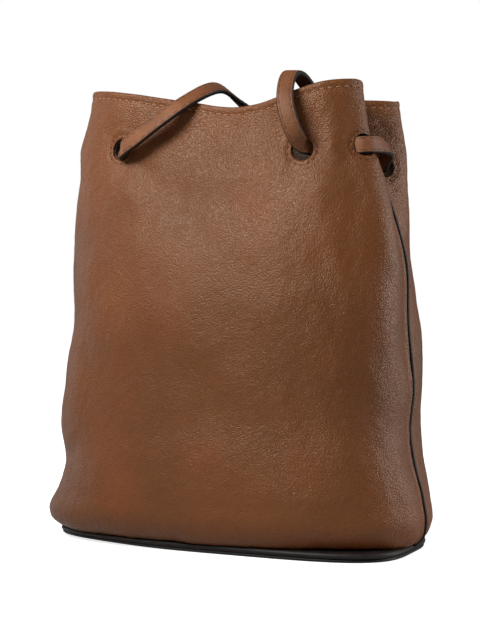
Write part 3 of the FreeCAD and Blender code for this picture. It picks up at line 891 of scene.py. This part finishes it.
def make_stitches(name, places, length, thickness, thread):
    """Many stitches as one piece. places holds (centre, along, out) for each."""
    shape, shape_faces = thread_shape(length, thickness)
    points, faces = [], []
    for centre, along, out in places:
        along = unit(np.asarray(along, float))
        out = np.asarray(out, float)
        out = unit(out - along * np.dot(out, along))
        side = np.cross(out, along)
        start = len(points) * len(shape)
        points.append(centre + shape[:, :1] * along + shape[:, 1:2] * side + shape[:, 2:] * out)
        faces += [[index + start for index in face] for face in shape_faces]
    return new_object(name, np.concatenate(points) * MM, faces, [thread])


def strap_stitch_places(route, hints, ends=2.5):
    """Stitches along both edges and both faces of a strap."""
    tangent, across, face = strap_frames(route, hints)
    length = line_length(route)
    stitched = length - 2 * ends
    spacing = length / (len(route) - 1)
    count = max(int(stitched / STITCH_PITCH), 1)
    lift = STRAP_THICKNESS / 2 - 0.16
    places = []
    for number in range(count + 1):
        index = min(int(round((ends + stitched * number / count) / spacing)), len(route) - 1)
        for edge in (-STRAP_STITCH_LINE, STRAP_STITCH_LINE):
            for way in (-1, 1):
                centre = route[index] + across[index] * edge + face[index] * way * lift
                places.append((centre, tangent[index], face[index] * way))
    return places


def make_strap(name, route, hints):
    """A strap and its stitches."""
    strap = make_strap_mesh(name, route, hints)
    stitches = make_stitches(f"{name}_stitches", strap_stitch_places(route, hints), 3.0, 0.5, STRAP_THREAD)
    return strap, stitches


def make_free_strap():
    """The three cords: a run up from each front hole, and the loop that hangs down the back."""
    runs = {
        "strap_left_run": (LEFT_RISE + LEFT_BRIDGE[:BRIDGE_SHARE], ["strap_rise_left", "strap_bridge_left"],
                           [(0, (0.1, -1, 0.1)), (0.15, (0.06, -0.9, 0.3)), (0.3, (0.02, -0.85, 0.4)),
                            (0.5, (0.12, -0.8, 0.5)), (0.62, (0.4, -0.6, 0.7)), (0.74, (0.58, -0.25, 0.78)),
                            (0.86, (0.6, 0.05, 0.8)), (1, (0.3, 0, 1))]),
        "strap_right_run": (RIGHT_RISE + RIGHT_BRIDGE[:BRIDGE_SHARE],
                            ["strap_rise_right", "strap_bridge_right"],
                            [(0, (0.1, -0.95, 0.2)), (0.35, (0.2, -0.97, 0.1)), (0.5, (0.15, -0.9, 0.35)),
                             (0.62, (0.1, -0.6, 0.8)), (0.8, (0, 0.1, 1)), (1, (0, 0.2, 1))]),
    }
    for name, (points, nodes, hints) in runs.items():
        route = smooth_line(points)
        strap, stitches = make_strap(name, route, hints)
        for piece in (strap, stitches):
            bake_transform(piece)
        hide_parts(nodes[0], nodes[1])
    points = LEFT_BRIDGE[BRIDGE_SHARE - 1:] + LOOP + RIGHT_BRIDGE[:BRIDGE_SHARE - 2:-1]
    hints = [(0, (0.3, 0, 1)), (0.035, (0.1, 0.6, 0.9)), (0.1, (0.05, 1, 0.1)), (0.3, (0.1, 1, 0.05)),
             (0.40, (0.8, 0.9, 0)), (0.45, (1, 0.25, -0.1)), (0.5, (0, 0, -1)), (0.55, (-1, 0.25, -0.1)),
             (0.60, (-0.8, 0.9, 0)), (0.7, (-0.1, 1, 0.05)), (0.9, (-0.05, 1, 0.1)), (0.965, (0, 0.6, 0.9)),
             (1, (0, 0.2, 1))]
    route = smooth_line(points)
    strap, stitches = make_strap("strap_back_loop", route, hints)
    for piece in (strap, stitches):
        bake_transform(piece)
    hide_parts("strap_loop")


SHELLS = {FRONT: Shell(FRONT), BACK: Shell(BACK)}


def make_walls():
    """Panels, facings and linings of both sides, each replacing its CAD node."""
    cell, trim = {"panel": 1.3, "facing": 1.9, "lining": 3.0}, 0.2
    for side, name in ((FRONT, "front"), (BACK, "back")):
        shell = SHELLS[side]
        panel = make_sheet(f"{name}_panel_leather", shell, BOTTOM_EDGE, None, 0, LEATHER_THICKNESS,
                           cell["panel"], SEAM_GAP, [LEATHER, EDGE], fine_above=196)
        facing = make_sheet(f"{name}_facing_band", shell, FACING_BOTTOM, None, FACING_OFFSET,
                            FACING_THICKNESS, cell["facing"], trim, [FACING_LEATHER_IN_PAINTED_SHADE, EDGE])
        lining = make_sheet(f"{name}_lining_cloth", shell, LINING_BOTTOM, FACING_BOTTOM - 0.4, LINING_OFFSET,
                            LINING_THICKNESS, cell["lining"], trim, [LINING, LINING], holes=False)
        for sheet, layer, slot in ((panel, "panel", "leather"), (facing, "facing", "leather"),
                                   (lining, "lining", "lining")):
            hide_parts(f"{name}_{layer}")


def make_stays():
    """Washers of firm leather between the panel and its facing, one round each hole."""
    around, across = 48, 5
    radii = np.linspace(HOLE_RADIUS + 0.05, STAY_RADIUS, across)
    turns = np.linspace(0, 2 * math.pi, around, endpoint=False)
    for name, (side, place, _) in HOLES.items():
        shell = SHELLS[side]
        centre, axis = shell.find(place)
        rings = [onto_layer(shell, centre + radius * round_axis(axis, turns), depth)
                 for depth, order in ((STAY_OFFSET, radii), (STAY_OFFSET + STAY_THICKNESS, radii[::-1]))
                 for radius in order]
        points = np.concatenate(rings)
        quads = grid_faces(len(rings) + 1, around, closed=True) % len(points)
        stay = new_object(f"stay_{name}", points * MM, quads.tolist(), [STAY])
        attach(stay, "bag")
        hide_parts(f"hole_stay_{name}")


def round_axis(axis, turns):
    """Directions at right angles to an axis, by their turn about it."""
    across = unit(np.cross(np.array([0, 0, 1.0]), axis))
    up = np.cross(axis, across)
    return np.cos(turns)[:, None] * across + np.sin(turns)[:, None] * up


def onto_layer(shell, places, inward):
    """Places near the shell, moved onto one of its layers."""
    share = np.array([nearest_share(shell, place) for place in places])
    height = places[:, 2]
    points = shell.point(share, height) + shell.normal(share, height) * (
        shell.slack(share, height) - inward)[:, None]
    points[:, 2] = height
    return points


def onto_leather(shell, place):
    """The point of the leather's outer face nearest to a place near it."""
    return shell.layer(np.array([nearest_share(shell, place)]), place[2:], 0)[0]


def nearest_share(shell, place):
    """The share of the way round the shell that is nearest to a place, between the net's points."""
    row = shell.net[int(round(place[2] / shell.UP))]
    apart = ((row - place[:2]) ** 2).sum(1)
    best = int(np.clip(np.argmin(apart), 1, len(row) - 2))
    before, here, after = apart[best - 1], apart[best], apart[best + 1]
    nudge = 0.5 * (before - after) / max(before - 2 * here + after, 1e-9)
    return (best + float(np.clip(nudge, -1, 1))) / (len(row) - 1)


def sweep(name, path, outward, sideways, section, materials):
    """A closed section swept along a path; outward and sideways give its axes at each point."""
    section = np.asarray(section)
    rings = path[:, None] + section[None, :, :1] * sideways[:, None] + section[None, :, 1:] * outward[:, None]
    rows, columns = rings.shape[:2]
    points = rings.reshape(-1, 3)
    faces = grid_faces(rows, columns, closed=True).tolist() + tube_ends(len(points), columns)
    return new_object(name, points * MM, faces, materials)


def make_end_welts():
    """The seams: a doubled, painted edge standing a little proud between the two panels."""
    proud, deep = 0.95, -1.5
    section = [(1.0, deep), (1.02, 0.3), (0.94, 0.68), (0.7, proud), (0.4, proud), (0.16, proud - 0.15),
               (0.0, proud - 0.3)]
    section += [(-x, y) for x, y in section[::-1][1:]]
    heights = np.arange(BOTTOM_EDGE - 1.2, 241.0, 1.0)
    shell = SHELLS[FRONT]
    for end, share, name in ((RIGHT, 0.0, "right"), (LEFT, 1.0, "left")):
        top = float(shell.rim(share))
        heights = np.append(heights[heights < top - 0.6], top - 0.1)
        path = shell.point(np.full_like(heights, share), heights)
        path[:, 1] = 0
        tangent = unit(np.gradient(path, axis=0))
        sideways = np.tile([0.0, 1.0, 0.0], (len(path), 1))
        outward = end * np.cross(sideways, tangent)
        slack = SHELLS[FRONT].slack(share, heights) + SHELLS[BACK].slack(share, heights)
        path = path + outward * slack[:, None] * 0.4
        welt = sweep(f"{name}_end_welt_edge", path, outward, sideways, section, [EDGE])
        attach(welt, "bag")
        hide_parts(f"{name}_end_welt")


def base_line(inset):
    """A closed line on the floor, inside the edge of the base, which is squarer at its right end."""
    count = 420
    turn = np.linspace(0, 2 * math.pi, count, endpoint=False)
    along, away = np.cos(turn), np.sin(turn)
    power = 2 / (3.6 + 0.4 * np.tanh(along / 0.4))
    fuller = 1 + 0.076 * step_up(along, 0.05, 0.2) * (away < 0)
    line = np.stack([BASE_HALF_LENGTH * np.sign(along) * np.abs(along) ** power,
                     BASE_HALF_DEPTH * fuller * np.sign(away) * np.abs(away) ** power, np.zeros(count)], 1)
    line = even(np.concatenate([line, line[:1]]), float(line_length(line)) / count)[:-1]
    tangent = unit(np.roll(line, -1, axis=0) - np.roll(line, 1, axis=0))
    outward = np.cross(tangent, np.array([0, 0, 1.0]))
    return line - outward * inset


def make_base():
    """The painted welt round the base and the sole under it, which curls up a little at the left. Each
    profile goes round the section: how far in from the edge, and how high."""
    profiles = {
        "base_welt": ((9.0, 2.0), (1.0, 2.0), (0.3, 2.3), (0.0, 2.9), (0.05, 3.8), (0.6, 4.6), (1.6, 5.1),
                      (3.0, 5.3), (9.0, 5.3)),
        "base_sole": ((40, 0.3), (20, 0.1), (7, 0.0), (2.2, 0.0), (1.2, 0.2), (0.8, 0.7), (0.75, 1.2),
                      (1.1, 1.75), (2.0, 1.9), (6, 1.9), (20, 1.9), (40, 1.9)),
    }
    for name, profile in profiles.items():
        rings = []
        for inset, height in profile:
            ring = base_line(inset)
            raised = BASE_CURL * step_up(-ring[:, 0], 45, 14) * bell(max(inset - 1, 0), 5)
            ring[:, 2] = height + raised * (1 - height / 8)
            rings.append(ring)
        count = len(rings[0])
        points = np.concatenate(rings)
        if name == "base_welt":
            faces = (grid_faces(len(rings) + 1, count, closed=True) % len(points))[:, ::-1].tolist()
        else:
            faces = grid_faces(len(rings), count, closed=True).tolist() + tube_ends(len(points), count)
        piece = new_object(f"{name}_edge", points * MM, faces, [EDGE])
        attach(piece, "bag")
        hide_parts(name)


def wall_stitch_row(shell, height_of, first, last, inward, way):
    """Places for a row of stitches along the shell. height_of turns shares into heights."""
    share = np.linspace(first, last, 1200)
    walked = walked_to(shell.layer(share, height_of(share), inward))
    count = int(walked[-1] / STITCH_PITCH)
    stops = np.interp((np.arange(count) + 0.5) * walked[-1] / count, walked, share)
    centres = shell.layer(stops, height_of(stops), inward)
    step = 0.002
    ahead = shell.layer(stops + step, height_of(stops + step), inward)
    normals = shell.normal(stops, height_of(stops)) * way
    return [(centre + normal * STITCH_LIFT, there - centre, normal)
            for centre, there, normal in zip(centres, ahead, normals)]


def make_wall_stitches():
    """Rows along the rim and the facing's lower edge, a ring round each hole, and short dark dashes of
    painted shade between the outer rim stitches.
    """
    for side, name in ((FRONT, "front"), (BACK, "back")):
        shell = SHELLS[side]
        edge = 4.0 / NOMINAL_GIRTH      # the rows stop short of the seams

        def at_rim(share):
            return shell.rim(share) - RIM_STITCH_DEPTH

        def at_facing(share):
            return np.full_like(share, FACING_BOTTOM + 2.6)

        inside = FACING_OFFSET + FACING_THICKNESS
        places = wall_stitch_row(shell, at_rim, edge, 1 - edge, 0, 1)
        # Painted shade: a second row of short dark dashes, half a pitch along, fills the gaps between the
        # outer rim stitches where shade falls.
        half_pitch = STITCH_PITCH / 2 / NOMINAL_GIRTH
        gap_shade_stitches = wall_stitch_row(shell, at_rim, edge + half_pitch, 1 - edge + half_pitch, 0, 1)
        places += wall_stitch_row(shell, at_rim, edge, 1 - edge, inside, -1)
        places += wall_stitch_row(shell, at_facing, edge, 1 - edge, inside, -1)
        turns = 2 * math.pi * (np.arange(HOLE_STITCHES) + 0.5) / HOLE_STITCHES
        rings = [(onto_leather(shell, centre + HOLE_STITCH_RADIUS * outward) + axis * STITCH_LIFT,
                  np.cross(axis, outward), axis)
                 for centre, axis, _ in shell.holes for outward in round_axis(axis, turns)]
        for kind, spots, length, size, thread in (("wall_stitches", places, 2.7, 0.75, WALL_THREAD),
                                                  ("stitch_gap_shade", gap_shade_stitches, 1.3, 0.5, DARK_THREAD_AND_GAP_SHADE),
                                                  ("hole_stitches", rings, 1.9, 0.6, DARK_THREAD_AND_GAP_SHADE)):
            stitches = make_stitches(f"{name}_{kind}", spots, length, size, thread)
            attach(stitches, "bag")


# ---- the threaded stretches of the strap -----------------------------------------------------------------

def hole_frame(name):
    side, place, _ = HOLES[name]
    return SHELLS[side].find(place)


OUTER_RIGHT = [(76.4, -25.4, 211.2), (81.6, -26.4, 211.8), (86.0, -24.6, 212.1), (88.6, -19.4, 212.5),
               (89.3, -11.0, 212.8), (88.5, -2.6, 212.6), (86.4, 4.6, 211.2), (83.4, 9.0, 208.2),
               (79.8, 10.4, 204.4)]
OUTER_LEFT = [(-79.5, -14.5, 210.6), (-84.0, -17.2, 211.0), (-88.0, -15.5, 211.6), (-91.0, -7.5, 212.6),
              (-91.6, 1.5, 212.8), (-90.6, 9.0, 212.2), (-87.6, 15.5, 211.4), (-83.8, 17.2, 211.0),
              (-79.5, 14.5, 210.4)]
INNER_PAIRS = {"front_right": ("front_right", "right_front"), "front_left": ("front_left", "left_front"),
               "back_right": ("back_right", "right_back"), "back_left": ("back_left", "left_back")}
ABOVE_LEATHER = 2.2         # height of the strap's middle line where it lies on the leather
INSIDE_DEPTH = 8.0          # depth of the strap's middle line behind a hole
END_DEPTH = 4.6             # depth at which an inside stretch starts


def back_route():
    """Across the back, on the leather between the two holes and through them at each end."""
    start, start_axis = hole_frame("back_left")
    stop, stop_axis = hole_frame("back_right")
    route = [start - start_axis * 4.5, start - start_axis * 0.5, start + start_axis * 2.6 + (4, 0, 0)]
    for x in (-38, -20, 0, 20, 38):
        sagging = 211.0 - ABOVE_LEATHER * bell(x, 30)
        route.append(onto_leather(SHELLS[BACK], np.array([x, 45.0, sagging])) + (0, ABOVE_LEATHER, 0))
    return route + [stop + stop_axis * 2.6 - (4, 0, 0), stop - stop_axis * 0.5, stop - stop_axis * 4.5]


def inner_route(first, second):
    """Inside the mouth from one hole to the next, with the direction that the strap's face looks. A front
    hole also holds the free strap, so there the stretch starts deeper and further along."""
    a, a_axis = hole_frame(first)
    b, b_axis = hole_frame(second)
    shared = 0.0 if first.startswith("back") else 1.0
    outward = unit(a_axis + b_axis)
    middle = (a + b) / 2 - outward * 4.0
    deep_a, deep_b = a - a_axis * INSIDE_DEPTH, b - b_axis * INSIDE_DEPTH
    route = [a - a_axis * (END_DEPTH + 3 * shared) + (b - a) * 0.22 * shared,
             deep_a + (b - a) * (0.06 + 0.2 * shared), (middle + deep_a) / 2,
             (middle + deep_b) / 2, deep_b - (b - a) * 0.06, b - b_axis * END_DEPTH]
    return route, tuple(outward)


def make_threaded_straps():
    """The strap where the bag holds it: outside across both ends and the back, and inside between holes."""
    pieces = {
        "strap_outer_right": (OUTER_RIGHT, [(0, (0.55, -0.8, 0.05)), (0.25, (0.8, -0.6, 0.1)),
                                            (0.5, (0.9, 0, 0.4)), (0.75, (0.7, 0.3, 0.65)),
                                            (1, (0.7, 0.3, 0.65))]),
        "strap_outer_left": (OUTER_LEFT, [(0, (-0.55, -0.8, 0.1)), (0.25, (-0.85, -0.55, 0.1)),
                                          (0.5, (-1, 0, 0.05)), (0.8, (-0.8, 0.6, 0)),
                                          (1, (-0.5, 0.85, 0))]),
        "strap_outer_back": (back_route(), [(0, (-0.6, 0.8, 0)), (0.1, (-0.2, 1, 0)), (0.9, (0.2, 1, 0)),
                                            (1, (0.6, 0.8, 0))]),
    }
    for name, pair in INNER_PAIRS.items():
        route, outward = inner_route(*pair)
        pieces[f"strap_inner_{name}"] = (route, [(0, outward), (1, outward)])
    for name, (points, hints) in pieces.items():
        route = smooth_line(points)
        strap, stitches = make_strap(f"{name}_leather", route, hints)
        for piece in (strap, stitches):
            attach(piece, "bag")
        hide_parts(name)


make_walls()
make_stays()
make_end_welts()
make_base()
make_wall_stitches()
make_threaded_straps()
make_free_strap()

for name, material in (("base_board", BOARD), ("base_lining", LINING)):
    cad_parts[name].data.materials.append(material)
